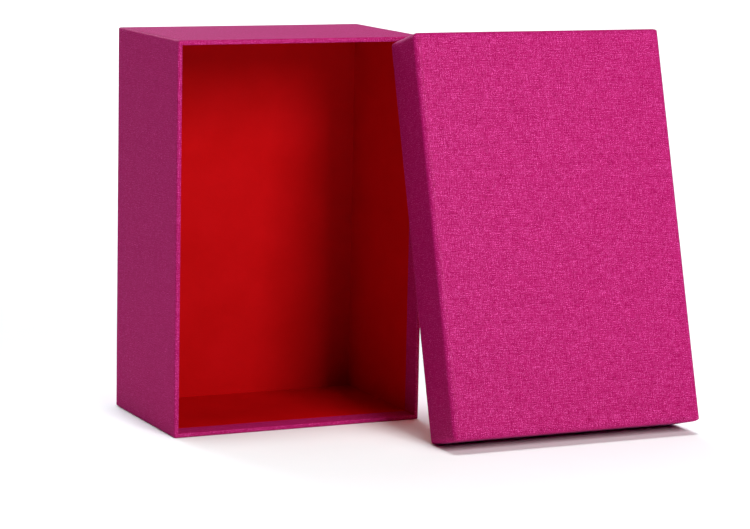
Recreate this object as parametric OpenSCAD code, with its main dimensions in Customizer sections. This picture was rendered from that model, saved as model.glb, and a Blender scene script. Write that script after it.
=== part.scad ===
// Two-piece rigid gift box: a paper-covered greyboard base that stands on its end with its
// mouth to the front, and its lift-off lid, which leans against the base's front edge.
// +Z is up, the mouth faces -Y, and the origin is the centre of the end that it stands on.

/* [Base] */
// Outside width of the base
base_w = 157; // [100:1:240]
// Outside height of the base as it stands, which is the box's long side
base_h = 230; // [150:1:320]
// Outside depth of the base, from its rim to its closed back
base_d = 98; // [60:1:160]
// Radius of the base's outer edges
base_edge_r = 1.3; // [0.6:0.1:2]

/* [Lid] */
// Outside depth of the lid, from its rim to its face
lid_d = 32; // [24:1:50]
// Clearance on each side between the base and the lined lid that goes over it
lid_gap = 0.3; // [0.2:0.1:1.5]
// Radius of the lid's outer edges
lid_edge_r = 3.5; // [0.6:0.1:4]

/* [Board and paper] */
// Thickness of the greyboard
board_t = 2.25; // [1.5:0.25:3]
// Thickness of the embossed cover paper
wrap_t = 0.2; // [0.15:0.05:0.4]
// Thickness of the red lining paper
liner_t = 0.15; // [0.1:0.05:0.3]
// Thickness of the paper tape on the board's corners
stay_t = 0.12; // [0.08:0.02:0.3]

/* [Folds and laps] */
// Radius of both trays' outer rim edges
rim_edge_r = 1.3; // [0.6:0.1:1.6]
// How far the cover paper is turned in over the rim
turn_in = 16; // [8:1:20]
// How far the lining laps over the turned-in paper
liner_lap = 3; // [1:0.5:6]
// Width of a corner tape on each of the two walls that it joins
stay_leg = 12; // [6:1:20]
// Distance of a corner tape's ends from the board's panel and from its rim
stay_margin = 4; // [3:0.5:8]

/* [Arrangement] */
// Angle that the lid leans back from upright
lid_lean = 16; // [4:0.1:24]
// Width of the base that the leaning lid covers, measured from the base's right side
lid_overlap = 24; // [6:0.5:60]
// Clearance between the leaning lid and the base
lean_gap = 0.3; // [0.1:0.1:1]

/* [Hidden] */
$fn = 48;

COVER = [0.76, 0.18, 0.48];
LINING = [0.66, 0.05, 0.07];
GREYBOARD = [0.55, 0.52, 0.48];
TAPE = [0.72, 0.58, 0.42];

// The lid's outside follows from the base, the clearance and every layer of its own wall
lid_wall = liner_t + wrap_t + board_t + wrap_t;
lid_w = base_w + 2 * (lid_gap + lid_wall);
lid_h = base_h + 2 * (lid_gap + lid_wall);

// Each tray is [width, height, depth, edge radius]
BASE = [base_w, base_h, base_d, base_edge_r];
LID = [lid_w, lid_h, lid_d, lid_edge_r];

// A corner is [x, y] in the tray's own plane
LEFT_BOTTOM = [-1, -1];
RIGHT_BOTTOM = [1, -1];
RIGHT_TOP = [1, 1];
LEFT_TOP = [-1, 1];

// As the lid leans, a sharp rim edge would reach this much further down or back than a round one
rim_drop = rim_edge_r * (sin(lid_lean) + cos(lid_lean) - 1);

// The lid's top rim edge meets the base's mouth, or its rim plane meets the base's top edge
edge_reach = lid_h * sin(lid_lean) - rim_drop;
plane_reach = (base_h + rim_drop) * tan(lid_lean) - rim_drop / cos(lid_lean);

// Where the lower edge of the lid's rim would be if it were sharp, in the middle of its width
lid_x = base_w / 2 - lid_overlap + lid_w / 2;
lid_y = -base_d / 2 - lean_gap - min(edge_reach, plane_reach);
lid_z = -rim_drop;

// Overshoot that keeps cuts clear of the faces that they open
cut = 1;

// ---- places: a tray lies with its panel on z = 0 and its rim at z = depth ----

module base_place() {
    translate([0, base_d / 2, base_h / 2]) rotate([90, 0, 0]) children();
}

module lid_place() {
    translate([lid_x, lid_y, lid_z])
        rotate([-lid_lean, 0, 0])
            translate([0, -lid_d, lid_h / 2])
                rotate([90, 0, 0]) mirror([0, 0, 1]) children();
}

// ---- shapes that both trays share ----

module centred_block(w, h, z0, z1) {
    translate([-w / 2, -h / 2, z0]) cube([w, h, z1 - z0]);
}

// Rectangle with four round corners
module round_rect(w, h, r) {
    square([w - 2 * r, h], center = true);
    square([w, h - 2 * r], center = true);
    for (x = [-1, 1], y = [-1, 1]) translate([x * (w / 2 - r), y * (h / 2 - r)]) circle(r);
}

// Rectangle on y = 0 whose lower corners have one radius and whose upper corners another
module round_side(w, d, foot_r, rim_r) {
    translate([-w / 2 + foot_r, 0]) square([w - 2 * foot_r, d - rim_r]);
    translate([-w / 2, foot_r]) square([w, d - foot_r - rim_r]);
    translate([-w / 2 + rim_r, foot_r]) square([w - 2 * rim_r, d - foot_r]);
    for (x = [-1, 1]) {
        translate([x * (w / 2 - foot_r), foot_r]) circle(foot_r);
        translate([x * (w / 2 - rim_r), d - rim_r]) circle(rim_r);
    }
}

// Solid block with one radius on its side edges and panel edges and another round its rim
module soft_block(w, h, d, r, rim_r) {
    intersection() {
        linear_extrude(d) round_rect(w, h, r);
        translate([0, h, 0]) rotate([90, 0, 0]) linear_extrude(2 * h) round_side(w, d, r, rim_r);
        translate([-w, 0, 0]) rotate([90, 0, 90]) linear_extrude(2 * w) round_side(h, d, r, rim_r);
    }
}

// Ring of constant wall between two heights
module wall_ring(w, h, wall, z0, z1) {
    difference() {
        centred_block(w, h, z0, z1);
        centred_block(w - 2 * wall, h - 2 * wall, z0 - cut, z1 + cut);
    }
}

function cavity_w(tray) = tray[0] - 2 * (wrap_t + board_t);
function cavity_h(tray) = tray[1] - 2 * (wrap_t + board_t);
function rim_z(tray) = tray[2] - wrap_t;
function turn_z(tray) = rim_z(tray) - turn_in;

// The board's outside, as if the tray were solid
module board_block(tray) {
    translate([0, 0, wrap_t])
        soft_block(tray[0] - 2 * wrap_t, tray[1] - 2 * wrap_t, tray[2] - 2 * wrap_t,
                   tray[3] - wrap_t, rim_edge_r - wrap_t);
}

// Space that a corner tape takes up, open to the outside of the tray
module stay_space(tray, corner) {
    inset = wrap_t + stay_t;
    z0 = wrap_t + board_t + stay_margin;
    z1 = rim_z(tray) - stay_margin;
    difference() {
        translate([corner[0] * tray[0] / 2, corner[1] * tray[1] / 2, 0])
            centred_block(2 * (wrap_t + stay_leg), 2 * (wrap_t + stay_leg), z0, z1);
        translate([0, 0, z0 - cut])
            linear_extrude(z1 - z0 + 2 * cut)
                round_rect(tray[0] - 2 * inset, tray[1] - 2 * inset, tray[3] - inset);
    }
}

// Paper tape round one corner of the board, pressed flush into it
module stay(tray, corner) {
    intersection() {
        board_block(tray);
        stay_space(tray, corner);
    }
}

// One scored and folded blank: four walls round a panel
module board(tray) {
    difference() {
        board_block(tray);
        centred_block(cavity_w(tray), cavity_h(tray), wrap_t + board_t, tray[2] + cut);
        for (corner = [LEFT_BOTTOM, RIGHT_BOTTOM, RIGHT_TOP, LEFT_TOP]) stay_space(tray, corner);
    }
}

// One sheet over the outside and the rim, turned in down the inner walls
module wrap(tray) {
    mouth_w = cavity_w(tray) - 2 * wrap_t;
    mouth_h = cavity_h(tray) - 2 * wrap_t;
    difference() {
        soft_block(tray[0], tray[1], tray[2], tray[3], rim_edge_r);
        board_block(tray);
        centred_block(mouth_w, mouth_h, rim_z(tray) - cut, tray[2] + cut);
    }
    wall_ring(cavity_w(tray), cavity_h(tray), wrap_t, turn_z(tray), tray[2]);
}

// Lining of the four inner walls, stepped over the edge of the turned-in paper
module wall_liner(tray) {
    w = cavity_w(tray);
    h = cavity_h(tray);
    edge = turn_z(tray);
    wall_ring(w, h, liner_t, wrap_t + board_t + liner_t, edge);
    wall_ring(w, h, wrap_t + liner_t, edge - liner_t, edge);
    wall_ring(w - 2 * wrap_t, h - 2 * wrap_t, liner_t, edge - liner_t, edge + liner_lap);
}

// Lining of the panel, under the feet of the wall lining
module panel_liner(tray) {
    floor_z = wrap_t + board_t;
    centred_block(cavity_w(tray), cavity_h(tray), floor_z, floor_z + liner_t);
}

// ---- pieces of the base ----

module base_board() { color(GREYBOARD) base_place() board(BASE); }
module base_stay(corner) { color(TAPE) base_place() stay(BASE, corner); }
module base_wrap() { color(COVER) base_place() wrap(BASE); }
module base_wall_liner() { color(LINING) base_place() wall_liner(BASE); }
module base_back_liner() { color(LINING) base_place() panel_liner(BASE); }

// ---- pieces of the lid ----

module lid_board() { color(GREYBOARD) lid_place() board(LID); }
module lid_stay(corner) { color(TAPE) lid_place() stay(LID, corner); }
module lid_wrap() { color(COVER) lid_place() wrap(LID); }
module lid_wall_liner() { color(LINING) lid_place() wall_liner(LID); }
module lid_face_liner() { color(LINING) lid_place() panel_liner(LID); }

base_board();
base_stay(LEFT_BOTTOM);  // base_stay_left_bottom
base_stay(RIGHT_BOTTOM);  // base_stay_right_bottom
base_stay(RIGHT_TOP);  // base_stay_right_top
base_stay(LEFT_TOP);  // base_stay_left_top
base_wrap();
base_wall_liner();
base_back_liner();
lid_board();
lid_stay(LEFT_BOTTOM);  // lid_stay_left_bottom
lid_stay(RIGHT_BOTTOM);  // lid_stay_right_bottom
lid_stay(RIGHT_TOP);  // lid_stay_right_top
lid_stay(LEFT_TOP);  // lid_stay_left_top
lid_wrap();
lid_wall_liner();
lid_face_liner();
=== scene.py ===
"""A paper-covered rigid gift box. Its base stands on its end with its mouth to the front, and
its lift-off lid leans against the base's front edge."""
import math
from collections import namedtuple

import bpy
from mathutils import Matrix, Vector


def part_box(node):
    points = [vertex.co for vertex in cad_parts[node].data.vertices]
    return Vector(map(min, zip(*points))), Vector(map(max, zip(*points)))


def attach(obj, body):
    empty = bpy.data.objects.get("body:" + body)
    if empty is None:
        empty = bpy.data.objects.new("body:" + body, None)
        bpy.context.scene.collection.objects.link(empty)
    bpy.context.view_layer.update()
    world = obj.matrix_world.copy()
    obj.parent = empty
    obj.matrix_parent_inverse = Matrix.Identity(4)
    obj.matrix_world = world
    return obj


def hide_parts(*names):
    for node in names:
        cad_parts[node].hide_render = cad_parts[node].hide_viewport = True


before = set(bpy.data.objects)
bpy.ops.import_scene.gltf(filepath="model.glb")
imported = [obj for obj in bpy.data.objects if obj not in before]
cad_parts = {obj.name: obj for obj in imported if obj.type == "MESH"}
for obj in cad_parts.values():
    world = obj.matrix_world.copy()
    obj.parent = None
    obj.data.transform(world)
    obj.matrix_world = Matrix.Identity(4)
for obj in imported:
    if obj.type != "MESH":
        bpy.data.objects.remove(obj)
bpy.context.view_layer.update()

MM = 0.001

# ---- sizes, in metres ----

base_low, base_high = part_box("base_wrap")
lid_low, lid_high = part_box("lid_wrap")
BASE_W = base_high.x - base_low.x
BASE_D = base_high.y - base_low.y
BASE_H = base_high.z - base_low.z
LID_W = lid_high.x - lid_low.x
LID_H = BASE_H + LID_W - BASE_W
LID_D = 32 * MM
LID_LEAN = math.radians(16)

PAPER = 0.2 * MM
BOARD = 2.25 * MM
WALL = PAPER + BOARD + PAPER
TURN_IN = 16 * MM  # how deep the cover paper goes down the inner walls
BASE_EDGE_R = 1.3 * MM
LID_EDGE_R = 3.5 * MM
RIM_OUTER_R = 1.3 * MM
RIM_INNER_R = 0.6 * MM
CORNER_INNER_R = 0.3 * MM  # least radius of the sheet's own corners

# The trays lie with their panel on z = 0 and their rim at z = depth, and are placed by these
BASE_PLACE = (
    Matrix.Translation((0, BASE_D / 2, BASE_H / 2))
    @ Matrix.Rotation(math.pi / 2, 4, "X")
)
# As the lid leans, a sharp rim edge would reach this much further down or back than a round one
RIM_DROP = RIM_OUTER_R * (math.sin(LID_LEAN) + math.cos(LID_LEAN) - 1)
LID_X = (lid_low.x + lid_high.x) / 2
LID_Y = lid_high.y + RIM_DROP - LID_H * math.sin(LID_LEAN)
LID_Z = lid_low.z - RIM_DROP
LID_PLACE = (
    Matrix.Translation((LID_X, LID_Y, LID_Z))
    @ Matrix.Rotation(-LID_LEAN, 4, "X")
    @ Matrix.Translation((0, -LID_D, LID_H / 2))
    @ Matrix.Rotation(-math.pi / 2, 4, "X")
)

# ---- the cover paper's mesh ----

ARC_STEPS = 6
CORNER_STEPS = 8
SIDE_STEPS = 6  # half of the steps along a long side
END_STEPS = 4  # half of the steps along an end, between the tabs under it
WALL_STEP = 9 * MM
PANEL_MIDDLE = 4 * MM  # half width of the panel's innermost ring
PANEL_RINGS = (1, 0.8, 0.6, 0.4, 0.22, 0.1)  # insets, as shares of the innermost ring's
HOLD = 0.3 * MM  # distance of a support loop from the fold beside it
TAB_SHOW = 0.8 * MM  # how much of a long side's tab shows beside the cut edge of an end's flap
TAB_LENGTH = 14 * MM
TAB_EASE = 1 * MM  # half of the length over which a flap comes down past the end of a tab
CUT_EDGE = 0.04 * MM  # width over which a flap's cut edge slopes down to the tab
TAB_LIFT = 0.05 * MM
MITRE_DEPTH = 0.09 * MM
MITRE_TURN = 0.25  # half of the mitre's width, in radians round the corner
COCKLE_HEIGHT = 0.03 * MM
COCKLE_FROM = 2 * MM  # distance from the rim where the cockle starts
COCKLE_FULL = 12 * MM
SHARP_ANGLE = math.radians(40)

ENDS = (0, 2)  # the sides whose flaps lie over the tabs of the long sides, as places in SIDES
SIDES = (  # outward direction and the direction along the side, anticlockwise
    (Vector((0, -1)), Vector((1, 0))),
    (Vector((1, 0)), Vector((0, 1))),
    (Vector((0, 1)), Vector((-1, 0))),
    (Vector((-1, 0)), Vector((0, -1))),
)

# run is the distance from the side's middle, turn the angle round the corner at its end, and
# beyond the distance past that corner. travel is the distance along the sheet's outer face.
Point = namedtuple("Point", "index side run turn beyond")
Ring = namedtuple("Ring", "points part inset radius travel")


def quarter(centre, radius, start):
    """Points and outward normals on a quarter circle in the section's (inset, depth) plane.
    start is the first normal, and the quarter turns on towards the tray's inside."""
    out = []
    for i in range(ARC_STEPS + 1):
        turn = math.pi / 2 * i / ARC_STEPS
        c, s = math.cos(turn), math.sin(turn)
        normal = (start[0] * c + start[1] * s, start[1] * c - start[0] * s)
        out.append((centre[0] + radius * normal[0], centre[1] + radius * normal[1], normal))
    return out


def section(width, depth, edge_r):
    """The sheet's section from the middle of the panel, round the edge, up the wall, over the
    rim and down to the turned-in edge, and back along the board's surface. Each entry is
    (inset, depth, normal, part)."""
    innermost = width / 2 - PANEL_MIDDLE
    rows = []

    def straight(part, normal, points):
        rows.extend((n, z, normal, part) for n, z in points)

    def arc(part, points):
        rows.extend((n, z, normal, part) for n, z, normal in points)

    panel = [innermost * share for share in PANEL_RINGS] + [edge_r + HOLD]
    straight("panel", (0, -1), [(n, 0) for n in panel])
    arc("edge", quarter((edge_r, edge_r), edge_r, (0, -1)))
    low = edge_r + HOLD
    high = depth - RIM_OUTER_R - HOLD
    steps = round((high - low) / WALL_STEP)
    straight("wall", (-1, 0), [(0, low + (high - low) * i / steps) for i in range(steps + 1)])
    outer_centre = (RIM_OUTER_R, depth - RIM_OUTER_R)
    arc("rim", quarter(outer_centre, RIM_OUTER_R, (-1, 0)))
    arc("rim", quarter((WALL - RIM_INNER_R, depth - RIM_INNER_R), RIM_INNER_R, (0, 1)))
    turned = depth - PAPER - TURN_IN
    straight("turned", (1, 0), [
        (WALL, depth - RIM_INNER_R - HOLD), (WALL, depth - TURN_IN / 2), (WALL, turned),
    ])
    straight("back", (1, 0), [(WALL - PAPER, turned), (WALL - PAPER, depth - PAPER)])
    arc("back", reversed(quarter(outer_centre, RIM_OUTER_R - PAPER, (-1, 0))))
    arc("back", reversed(quarter((edge_r, edge_r), edge_r - PAPER, (0, -1))))
    straight("back", (0, 1), [(innermost, PAPER)])
    return rows


def stations(is_end, straight):
    """Places along one side, as (run, turn, beyond). A long side takes in both corners and its
    tabs, and an end only what its flap covers. straight is the run to the corner's start."""
    if is_end:
        near = [
            TAB_SHOW + CUT_EDGE, TAB_SHOW + HOLD, TAB_LENGTH - TAB_EASE, TAB_LENGTH + TAB_EASE,
        ]
        open_part = straight - TAB_LENGTH - TAB_EASE
        return (
            [(-straight + d, 0.0, 0.0) for d in near]
            + [(open_part * i / END_STEPS, 0.0, 0.0) for i in range(1 - END_STEPS, END_STEPS)]
            + [(straight - d, 0.0, 0.0) for d in reversed(near)]
        )
    inner = [straight * i / SIDE_STEPS for i in range(1 - SIDE_STEPS, SIDE_STEPS)]
    turns = [math.pi / 2 * i / CORNER_STEPS for i in range(CORNER_STEPS + 1)]
    out = [(-straight, -math.pi / 2, TAB_SHOW)]
    out += [(-straight, -t, 0.0) for t in reversed(turns)]
    out += [(-straight + HOLD, 0.0, 0.0)] + [(run, 0.0, 0.0) for run in inner]
    out += [(straight - HOLD, 0.0, 0.0)]
    out += [(straight, t, 0.0) for t in turns]
    out += [(straight, math.pi / 2, TAB_SHOW)]
    return out


def smooth_step(value, low, high):
    t = min(1.0, max(0.0, (value - low) / (high - low)))
    return t * t * (3 - 2 * t)


def cockle(x, y, z, to_rim):
    """How far glued paper strays from flat: a few hundredths of a millimetre, and not at the
    rim, where it is pulled tight."""
    x, y, z = x / MM, y / MM, z / MM
    # Waves of uneven lengths, in mm, so that none is seen to repeat
    waves = (
        math.sin(x / 23 + 1.3) * math.sin(y / 31 + 0.4)
        + 0.6 * math.sin((x + y) / 14 + z / 19)
        + 0.4 * math.sin(z / 12 - x / 17)
    )
    return COCKLE_HEIGHT * smooth_step(to_rim, COCKLE_FROM, COCKLE_FULL) * waves


def relief(part, is_end, from_corner, turn, beyond):
    """Height of the laps and creases over the plain section."""
    if part in ("panel", "back"):
        return 0.0
    height = 0.0
    if part != "edge":
        if is_end:
            # The flap is lifted by the tab under it, and lies flat on the board where that ends
            height += TAB_LIFT * (1 - smooth_step(
                from_corner, TAB_LENGTH - TAB_EASE, TAB_LENGTH + TAB_EASE
            ))
        elif beyond:
            height -= TAB_LIFT
    if part in ("rim", "edge"):
        # The mitre on the rim, and the pleat where the sheet is gathered at the panel's corner
        height -= MITRE_DEPTH * max(0.0, 1 - abs(abs(turn) - math.pi / 4) / MITRE_TURN)
    return height


def corner_radius(edge_r, inset, under):
    """Radius of the sheet's corner at an inset, where three rounded edges meet in a point.
    under is how far the sheet's surface lies under its outside."""
    outer = edge_r - under
    to_centre = edge_r - inset
    diagonal = math.sqrt(2)
    return max(CORNER_INNER_R, (diagonal * to_centre - outer) / (diagonal - 1))


class Sheet:
    """One sheet of cover paper, as rings of points that follow the section round the tray."""

    def __init__(self, width, height, depth, edge_r):
        self.half = Vector((width / 2, height / 2))
        self.depth = depth
        self.edge_r = edge_r
        self.verts = []
        self.rings = []
        travel = 0.0
        before = None
        for inset, z, normal, part in section(width, depth, edge_r):
            if part != "back" and before is not None:
                travel += math.dist((inset, z), before)
            before = (inset, z)
            self.add_ring(inset, z, normal, part, travel)
        self.edge_travel = next(ring.travel for ring in self.rings if ring.part == "edge")

    def half_sizes(self, side):
        """How far a side is from the tray's middle, and half of its length."""
        return (self.half.y, self.half.x) if side in ENDS else (self.half.x, self.half.y)

    def add_ring(self, inset, z, normal, part, travel):
        radius = corner_radius(self.edge_r, inset, PAPER if part == "back" else 0.0)
        points = []
        for side, (out, along) in enumerate(SIDES):
            reach, half_length = self.half_sizes(side)
            flat_reach = reach - inset - radius
            straight = half_length - inset - radius
            shrink = Vector((1, 1))
            if part == "panel":
                # The panel's rings are its outermost one, drawn in towards the middle
                flat_reach = reach - self.edge_r - HOLD - CORNER_INNER_R
                straight = half_length - self.edge_r - HOLD - CORNER_INNER_R
                shrink = Vector((
                    (self.half.x - inset) / (self.half.x - self.edge_r - HOLD),
                    (self.half.y - inset) / (self.half.y - self.edge_r - HOLD),
                ))
            for run, turn, beyond in stations(side in ENDS, straight):
                way = out * math.cos(turn) + along * math.sin(turn)
                flat = (out * (flat_reach - beyond) + along * run + way * radius) * shrink
                lift = relief(part, side in ENDS, straight - abs(run), turn, beyond)
                if part != "back":
                    lift += cockle(flat.x, flat.y, z, self.depth - z)
                spot = flat - way * normal[0] * lift
                points.append(Point(len(self.verts), side, run, turn, beyond))
                self.verts.append(Vector((spot.x, spot.y, z + normal[1] * lift)))
        self.rings.append(Ring(points, part, inset, radius, travel))

    def owner(self, first, second, part):
        """The side of the flat sheet that a face between two points of a ring belongs to."""
        if second.side != first.side:
            return first.side if first.side in ENDS else second.side
        turn = (first.turn + second.turn) / 2
        past_mitre = part in ("rim", "turned", "back") and abs(turn) > math.pi / 4
        if past_mitre:
            return (first.side + (1 if turn > 0 else -1)) % len(SIDES)
        return first.side

    def layout(self, owner, point, ring):
        """Where a point lies on the flat sheet, as part of one side."""
        if ring.part == "panel":
            return self.verts[point.index].to_2d()
        out, along = SIDES[owner]
        reach, half_length = self.half_sizes(owner)
        straight = half_length - ring.inset - ring.radius
        past_straight = abs(point.turn) * ring.radius + point.beyond
        round_corner = math.pi / 2 * ring.radius
        if owner == point.side:
            run = point.run
            if point.turn:
                run += math.copysign(past_straight, point.turn)
        elif point.side not in ENDS and point.turn:
            run = math.copysign(straight + round_corner - past_straight, -point.turn)
        else:
            run = math.copysign(straight + round_corner + TAB_SHOW, -point.run)
        return out * (reach - self.edge_r + ring.travel - self.edge_travel) + along * run


def make_cover(name, width, height, depth, edge_r, place):
    """One sheet of cover paper as a closed mesh. Its UV map is its own flat layout in mm."""
    sheet = Sheet(width, height, depth, edge_r)
    faces, uvs = [], []
    for lower, upper in zip(sheet.rings, sheet.rings[1:]):
        for k, first in enumerate(lower.points):
            m = (k + 1) % len(lower.points)
            owner = sheet.owner(first, lower.points[m], upper.part)
            corners = ((lower, k), (lower, m), (upper, m), (upper, k))
            faces.append([ring.points[j].index for ring, j in corners])
            uvs.append([sheet.layout(owner, ring.points[j], ring) for ring, j in corners])
    for ring, step in ((sheet.rings[0], -1), (sheet.rings[-1], 1)):
        loop = [point.index for point in ring.points][::step]
        faces.append(loop)
        uvs.append([sheet.verts[index].to_2d() for index in loop])

    mesh = bpy.data.meshes.new(name)
    mesh.from_pydata([place @ v for v in sheet.verts], [], faces)
    layer = mesh.uv_layers.new(name="sheet")
    for face, spots in zip(mesh.polygons, uvs):
        for loop, spot in zip(face.loop_indices, spots):
            layer.data[loop].uv = (spot.x / MM, spot.y / MM)
    mesh.validate()
    mesh.shade_smooth()
    mesh.set_sharp_from_angle(angle=SHARP_ANGLE)
    piece = bpy.data.objects.new(name, mesh)
    bpy.context.scene.collection.objects.link(piece)
    return piece


# ---- materials ----

NOISE_LOW = 0.3  # a noise's values mostly lie between these two
NOISE_HIGH = 0.7


class Nodes:
    """Short ways to build a material's nodes."""

    def __init__(self, name):
        self.material = bpy.data.materials.new(name)
        self.material.use_nodes = True
        self.tree = self.material.node_tree
        self.shader = self.tree.nodes["Principled BSDF"]

    def add(self, kind, **settings):
        node = self.tree.nodes.new(kind)
        for key, value in settings.items():
            setattr(node, key, value)
        return node

    def link(self, source, target):
        self.tree.links.new(source, target)

    def feed(self, target, value):
        if isinstance(value, (int, float, tuple)):
            target.default_value = value
        else:
            self.link(value, target)

    def surface(self, values):
        """Feed the shader's own sockets, by their names."""
        for socket, value in values.items():
            self.feed(self.shader.inputs[socket], value)

    def place(self):
        """Place on the object, in metres."""
        return self.add("ShaderNodeTexCoord").outputs["Object"]

    def split(self, vector):
        node = self.add("ShaderNodeSeparateXYZ")
        self.link(vector, node.inputs[0])
        return node.outputs

    def math(self, operation, *values, clamp=False):
        node = self.add("ShaderNodeMath", operation=operation, use_clamp=clamp)
        for socket, value in zip(node.inputs, values):
            self.feed(socket, value)
        return node.outputs[0]

    def ramp(self, value, low, high, to_low=0.0, to_high=1.0):
        node = self.add("ShaderNodeMapRange")
        for key, number in (
            ("Value", value), ("From Min", low), ("From Max", high),
            ("To Min", to_low), ("To Max", to_high),
        ):
            self.feed(node.inputs[key], number)
        return node.outputs["Result"]

    def spread(self, noise, to_low=0.0, to_high=1.0):
        """A noise, spread out so that it fills a range."""
        return self.ramp(noise, NOISE_LOW, NOISE_HIGH, to_low, to_high)

    def scaled(self, vector, scale, offset=(0.0, 0.0, 0.0)):
        node = self.add("ShaderNodeMapping")
        self.link(vector, node.inputs["Vector"])
        node.inputs["Scale"].default_value = scale
        node.inputs["Location"].default_value = offset
        return node.outputs["Vector"]

    def noise(self, vector, scale=1.0, detail=2.0, roughness=0.5):
        node = self.add("ShaderNodeTexNoise")
        self.link(vector, node.inputs["Vector"])
        node.inputs["Scale"].default_value = scale
        node.inputs["Detail"].default_value = detail
        node.inputs["Roughness"].default_value = roughness
        return node.outputs["Fac"]

    def mix(self, factor, first, second):
        node = self.add("ShaderNodeMix", data_type="RGBA")
        self.feed(node.inputs["Factor"], factor)
        self.feed(node.inputs["A"], first)
        self.feed(node.inputs["B"], second)
        return node.outputs["Result"]

    def colours(self, value, stops):
        node = self.add("ShaderNodeValToRGB")
        self.link(value, node.inputs["Fac"])
        ramp = node.color_ramp.elements
        while len(ramp) < len(stops):
            ramp.new(0.5)
        for element, (place, colour) in zip(ramp, stops):
            element.position = place
            element.color = (*colour, 1.0)
        return node.outputs["Color"]

    def bump(self, height, strength, distance):
        node = self.add("ShaderNodeBump")
        self.link(height, node.inputs["Height"])
        node.inputs["Strength"].default_value = strength
        node.inputs["Distance"].default_value = distance
        self.surface({"Normal": node.outputs["Normal"]})


THREAD = 0.62  # pitch of the embossed threads, in mm like the rest of the sheet's layout
THREAD_WANDER = 0.25  # how far a thread strays to either side
WANDER_SCALES = (0.06, 0.7)  # of the noise along and across the threads
TONE_SCALES = (0.22, 1.7)
CHANGE_WIDTH = 0.3  # how softly one thread goes under the other
SLUB_FROM = 0.62
SLUB_FULL = 0.74
SPECK_SCALE = 1.7
SPECK_FROM = 0.58
SPECK_FULL = 0.70
GLINT_FROM = 0.1  # height on the threads' crowns from which a painted glint lightens the colour
GLINT_FULL = 0.6
MOTTLE_SCALE = 0.11
COVER_COLOURS = (  # from painted shade in the gaps between the threads to a painted shine on their crowns
    (0.0, (0.190, 0.0003, 0.037)),
    (0.35, (0.405, 0.0036, 0.115)),
    (1.0, (0.95, 0.13, 0.51)),
)
THREAD_CONTRAST = 0.38
CROWN_SHADING_CONTRAST = 0.43
GLINT_CONTRAST = 0.90
MOTTLE_CONTRAST = 0.04
MEAN_CROWN = 0.4
MEAN_TONE = 0.29
WALL_GRAIN_AND_GLINT_SHARE = 0.5  # share of the grain's tone, with its painted glints and painted shade, kept on walls, standing in for light that shows them less there
WALL_FACING = 0.4  # most that a wall's normal points to the front or back
PANEL_FACING = 0.8  # least that a panel's does
CROWN_HEIGHT = 0.5  # shares of the embossing's height
THREAD_HEIGHT = 0.6
GLINT_HEIGHT = 0.5
EMBOSS_STRENGTH = 0.6
EMBOSS_HEIGHT = 0.06 * MM
COVER_ROUGHNESS = 0.6
COVER_SPECULAR = 0.01
SHEEN_WEIGHT = 0.24
SHEEN_ROUGHNESS = 0.22
SHEEN_TINT = (0.7, 0.5, 1.0, 1.0)
GLAZE_WEIGHT = 0.010
GLAZE_IOR = 4.0
GLAZE_ROUGHNESS = 0.45


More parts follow.
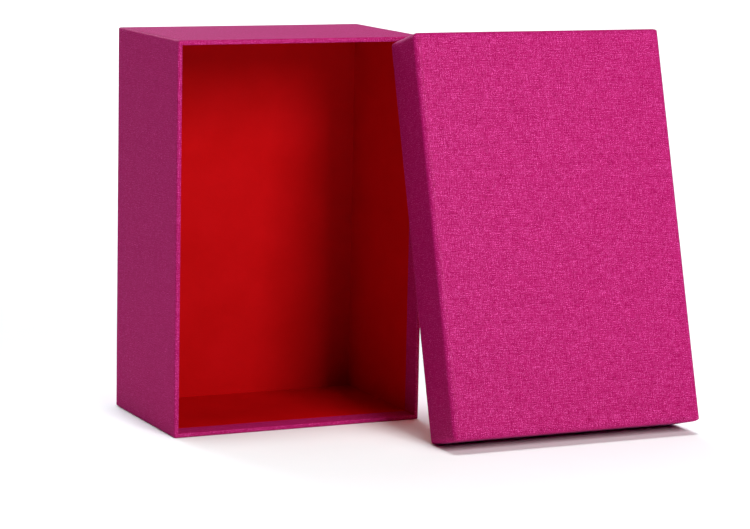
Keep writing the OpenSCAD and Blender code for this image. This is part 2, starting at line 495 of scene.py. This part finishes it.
def cover_paper():
    """Fuchsia paper embossed with a plain linen weave, its colour carrying painted glints on
    the threads' crowns and painted shade in their gaps. The UV map is the flat sheet in mm.
    """
    n = Nodes("cover_paper")
    sheet = n.add("ShaderNodeUVMap", uv_map="sheet").outputs["UV"]
    sheet_axes = n.split(sheet)

    def drawn_out(axis, scales, offset, detail, roughness):
        """Noise drawn out along the threads that follow one another on an axis. The offset
        keeps it apart from the others."""
        along, across = scales
        stretch = (across, along, 1) if axis == "X" else (along, across, 1)
        return n.noise(n.scaled(sheet, stretch, offset), detail=detail, roughness=roughness)

    def crossing(axis, offset):
        """A wave that changes sign from one thread to the next. The threads wander a little."""
        wander = drawn_out(axis, WANDER_SCALES, offset, detail=2, roughness=0.5)
        strayed = n.spread(wander, -THREAD_WANDER, THREAD_WANDER)
        place = n.math("ADD", sheet_axes[axis], strayed)
        return n.math("SINE", n.math("MULTIPLY", place, math.pi / THREAD))

    def thread_tone(axis, offset):
        """Thick and thin stretches along each thread."""
        return drawn_out(axis, TONE_SCALES, offset, detail=3, roughness=0.6)

    crossings = n.math("MULTIPLY", crossing("X", (0, 0, 0)), crossing("Y", (40, 7, 0)))
    on_top = n.ramp(crossings, -CHANGE_WIDTH, CHANGE_WIDTH)
    crown = n.math("ABSOLUTE", crossings)
    warp = n.math("MULTIPLY", thread_tone("X", (3, 11, 0)), on_top)
    weft = n.math("MULTIPLY", thread_tone("Y", (19, 5, 0)), n.math("SUBTRACT", 1.0, on_top))
    threads = n.math("ADD", warp, weft)
    # Painted glints: the colour is made lighter where slubs and specks lie on a thread's crown,
    # standing in for highlights
    slubs = n.ramp(threads, SLUB_FROM, SLUB_FULL)
    specks = n.ramp(n.noise(sheet, SPECK_SCALE, detail=1), SPECK_FROM, SPECK_FULL)
    on_crown = n.ramp(crown, GLINT_FROM, GLINT_FULL)
    glints = n.math("MULTIPLY", n.math("MAXIMUM", slubs, specks), on_crown)
    mottle = n.spread(n.noise(sheet, MOTTLE_SCALE, detail=3), -0.5, 0.5)
    # Painted light by facing: on walls that face neither front nor back, the grain's tone and
    # its painted glints and shade are toned down
    facing = n.split(n.add("ShaderNodeTexCoord").outputs["Normal"])
    to_front = n.math("ABSOLUTE", facing["Y"])
    grain_and_glint_share = n.ramp(to_front, WALL_FACING, PANEL_FACING, WALL_GRAIN_AND_GLINT_SHARE, 1.0)

    tone = n.math("MULTIPLY", n.spread(threads, -0.5, 0.5), THREAD_CONTRAST)
    # Painted shade and highlight: the colour is darker in the gaps between the threads and
    # lighter on their crowns
    tone = n.math("MULTIPLY_ADD", n.math("SUBTRACT", crown, MEAN_CROWN), CROWN_SHADING_CONTRAST, tone)
    tone = n.math("MULTIPLY_ADD", glints, GLINT_CONTRAST, tone)
    tone = n.math("MULTIPLY_ADD", mottle, MOTTLE_CONTRAST, tone)
    tone = n.math("MULTIPLY_ADD", tone, grain_and_glint_share, MEAN_TONE, clamp=True)
    height = n.math("ADD", n.math("MULTIPLY", crown, CROWN_HEIGHT),
                    n.math("MULTIPLY", threads, THREAD_HEIGHT))
    height = n.math("ADD", height, n.math("MULTIPLY", glints, GLINT_HEIGHT))
    n.bump(height, EMBOSS_STRENGTH, EMBOSS_HEIGHT)
    n.surface({
        "Base Color": n.colours(tone, COVER_COLOURS),
        "Roughness": COVER_ROUGHNESS,
        "Specular IOR Level": COVER_SPECULAR,
        "Sheen Weight": SHEEN_WEIGHT,
        "Sheen Roughness": SHEEN_ROUGHNESS,
        "Sheen Tint": SHEEN_TINT,
        "Coat Weight": GLAZE_WEIGHT,
        "Coat IOR": GLAZE_IOR,
        "Coat Roughness": GLAZE_ROUGHNESS,
    })
    return n.material


def lining_paper():
    """Smooth red paper with a faint fibre texture and slight glue cockle."""
    n = Nodes("lining_paper")
    place = n.place()
    deep = (0.44, 0.0008, 0.0015, 1.0)
    pale = (0.53, 0.0022, 0.0045, 1.0)
    fibre = n.noise(place, scale=2600, detail=4, roughness=0.6)
    cloud = n.noise(place, scale=38, detail=3)
    tone = n.math("ADD", n.math("MULTIPLY", fibre, 0.5), n.math("MULTIPLY", cloud, 0.5))
    height = n.math("ADD", n.math("MULTIPLY", fibre, 0.03), cloud)
    n.bump(height, strength=0.3, distance=0.2 * MM)
    n.surface({
        "Base Color": n.mix(n.spread(tone), deep, pale),
        "Roughness": n.spread(fibre, 0.62, 0.74),
        "Specular IOR Level": 0.04,
    })
    return n.material


def greyboard():
    """Recycled board: grey pulp with darker fibre flecks."""
    n = Nodes("greyboard")
    place = n.place()
    deep = (0.22, 0.20, 0.17, 1.0)
    pale = (0.34, 0.31, 0.27, 1.0)
    fleck = (0.10, 0.09, 0.08, 1.0)
    pulp = n.noise(place, scale=260, detail=5, roughness=0.65)
    flecks = n.ramp(n.noise(place, scale=1500), 0.62, 0.74)
    n.bump(pulp, strength=0.5, distance=0.1 * MM)
    n.surface({
        "Base Color": n.mix(flecks, n.mix(n.spread(pulp), deep, pale), fleck),
        "Roughness": 0.9,
        "Specular IOR Level": 0.2,
    })
    return n.material


def paper_tape():
    """Brown gummed paper tape with fine lengthwise fibres."""
    n = Nodes("paper_tape")
    deep = (0.36, 0.22, 0.11, 1.0)
    pale = (0.52, 0.34, 0.18, 1.0)
    fibre = n.noise(n.scaled(n.place(), (900, 90, 900)), detail=4, roughness=0.6)
    n.bump(fibre, strength=0.4, distance=0.05 * MM)
    n.surface({"Base Color": n.mix(n.spread(fibre), deep, pale), "Roughness": 0.75})
    return n.material


def white_floor():
    """Plain studio floor with a hardly visible grain."""
    n = Nodes("white_floor")
    deep = (0.955, 0.975, 0.985, 1.0)
    pale = (0.965, 0.985, 0.995, 1.0)
    n.surface({
        "Base Color": n.mix(n.spread(n.noise(n.place(), scale=30)), deep, pale),
        "Roughness": 0.9,
        "Specular IOR Level": 0.1,
    })
    return n.material


def wear(piece, material):
    piece.data.materials.clear()
    piece.data.materials.append(material)


# ---- the object ----

COVER = cover_paper()
LINING = lining_paper()
GREYBOARD = greyboard()
TAPE = paper_tape()

base_cover = make_cover("base_cover", BASE_W, BASE_H, BASE_D, BASE_EDGE_R, BASE_PLACE)
lid_cover = make_cover("lid_cover", LID_W, LID_H, LID_D, LID_EDGE_R, LID_PLACE)
for piece, body, node in (
    (base_cover, "base", "base_wrap"), (lid_cover, "lid", "lid_wrap")
):
    wear(piece, COVER)
    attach(piece, body)
    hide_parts(node)

for name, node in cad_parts.items():
    if name.endswith("_liner"):
        wear(node, LINING)
    elif name.endswith("_board"):
        wear(node, GREYBOARD)
    elif "_stay_" in name:
        wear(node, TAPE)

# ---- studio ----

FLOOR_REACH = 12.0  # half of the floor's side, in metres
OBJECT_CENTRE = Vector((0.03, -0.05, 0.115))
WHITE = (1.0, 1.0, 1.0)
COOL_WHITE = (0.90, 1.0, 1.08)


def make_floor():
    mesh = bpy.data.meshes.new("floor")
    corners = [(-1, -1), (1, -1), (1, 1), (-1, 1)]
    spots = [(x * FLOOR_REACH, y * FLOOR_REACH, 0) for x, y in corners]
    mesh.from_pydata(spots, [], [(0, 1, 2, 3)])
    floor = bpy.data.objects.new("floor", mesh)
    bpy.context.scene.collection.objects.link(floor)
    wear(floor, white_floor())


def towards(azimuth, elevation):
    """Direction from the object to a light. Azimuth 0 is the front and 90 the right."""
    a, e = math.radians(azimuth), math.radians(elevation)
    return Vector((math.sin(a) * math.cos(e), -math.cos(a) * math.cos(e), math.sin(e)))


def add_lamp(name, light, place, direction):
    lamp = bpy.data.objects.new(name, light)
    turn = direction.to_track_quat("Z", "Y").to_matrix().to_4x4()
    lamp.matrix_world = Matrix.Translation(place) @ turn
    bpy.context.scene.collection.objects.link(lamp)


def add_softbox(name, azimuth, elevation, distance, size, irradiance):
    """Rectangular light. An irradiance of 1 shows a white card that faces it as just white."""
    light = bpy.data.lights.new(name, "AREA")
    light.shape = "RECTANGLE"
    light.size, light.size_y = size
    light.energy = irradiance * (math.pi * distance) ** 2
    direction = towards(azimuth, elevation)
    add_lamp(name, light, OBJECT_CENTRE + direction * distance, direction)


def add_far_light(name, azimuth, elevation, spread, irradiance, colour=WHITE):
    """Light from a part of the studio as wide as spread, the same everywhere on the floor."""
    light = bpy.data.lights.new(name, "SUN")
    light.angle = math.radians(spread)
    light.energy = irradiance * math.pi
    light.color = colour
    direction = towards(azimuth, elevation)
    add_lamp(name, light, OBJECT_CENTRE + direction, direction)


def add_background_light(place, size, watts):
    """Square light over the floor behind the object, facing down."""
    light = bpy.data.lights.new("background", "AREA")
    light.shape = "SQUARE"
    light.size = size
    light.energy = watts
    add_lamp("background", light, place, Vector((0, 0, 1)))


make_floor()
add_softbox(
    "key", azimuth=6.5, elevation=27, distance=1.6, size=(0.48, 0.70), irradiance=0.78
)
add_far_light("overhead", azimuth=0, elevation=90, spread=20, irradiance=0.50)
add_far_light(
    "back", azimuth=180, elevation=25, spread=36, irradiance=0.72, colour=COOL_WHITE
)
add_far_light("back_left", azimuth=-135, elevation=45, spread=40, irradiance=0.11)
add_background_light(place=Vector((1.2, 2.4, 2.0)), size=3.0, watts=30.7)

# ---- camera, fitted to the box's corners in the photograph ----

FRAME_W = 750  # in px
CAMERA_FOCAL_PX = 2846.6
SENSOR_W = 36.0
CAMERA_PLACE = (-0.6673, -1.5487, 0.3623)
CAMERA_YAW = math.radians(-25.482)
CAMERA_PITCH = math.radians(-9.118)
CAMERA_ROLL = math.radians(-1.220)

camera_data = bpy.data.cameras.new("camera")
camera_data.sensor_fit = "HORIZONTAL"
camera_data.sensor_width = SENSOR_W
camera_data.lens = CAMERA_FOCAL_PX * SENSOR_W / FRAME_W
camera = bpy.data.objects.new("camera", camera_data)
camera.matrix_world = (
    Matrix.Translation(CAMERA_PLACE)
    @ Matrix.Rotation(CAMERA_YAW, 4, "Z")
    @ Matrix.Rotation(CAMERA_PITCH, 4, "X")
    @ Matrix.Rotation(CAMERA_ROLL, 4, "Y")
    @ Matrix.Rotation(math.pi / 2, 4, "X")
)
bpy.context.scene.collection.objects.link(camera)
bpy.context.scene.camera = camera
bpy.context.scene.view_settings.view_transform = "Standard"

world = bpy.data.worlds.new("studio")
bpy.context.scene.world = world
world.use_nodes = True
world.node_tree.nodes["Background"].inputs["Color"].default_value = (0.0, 0.0, 0.0, 1.0)
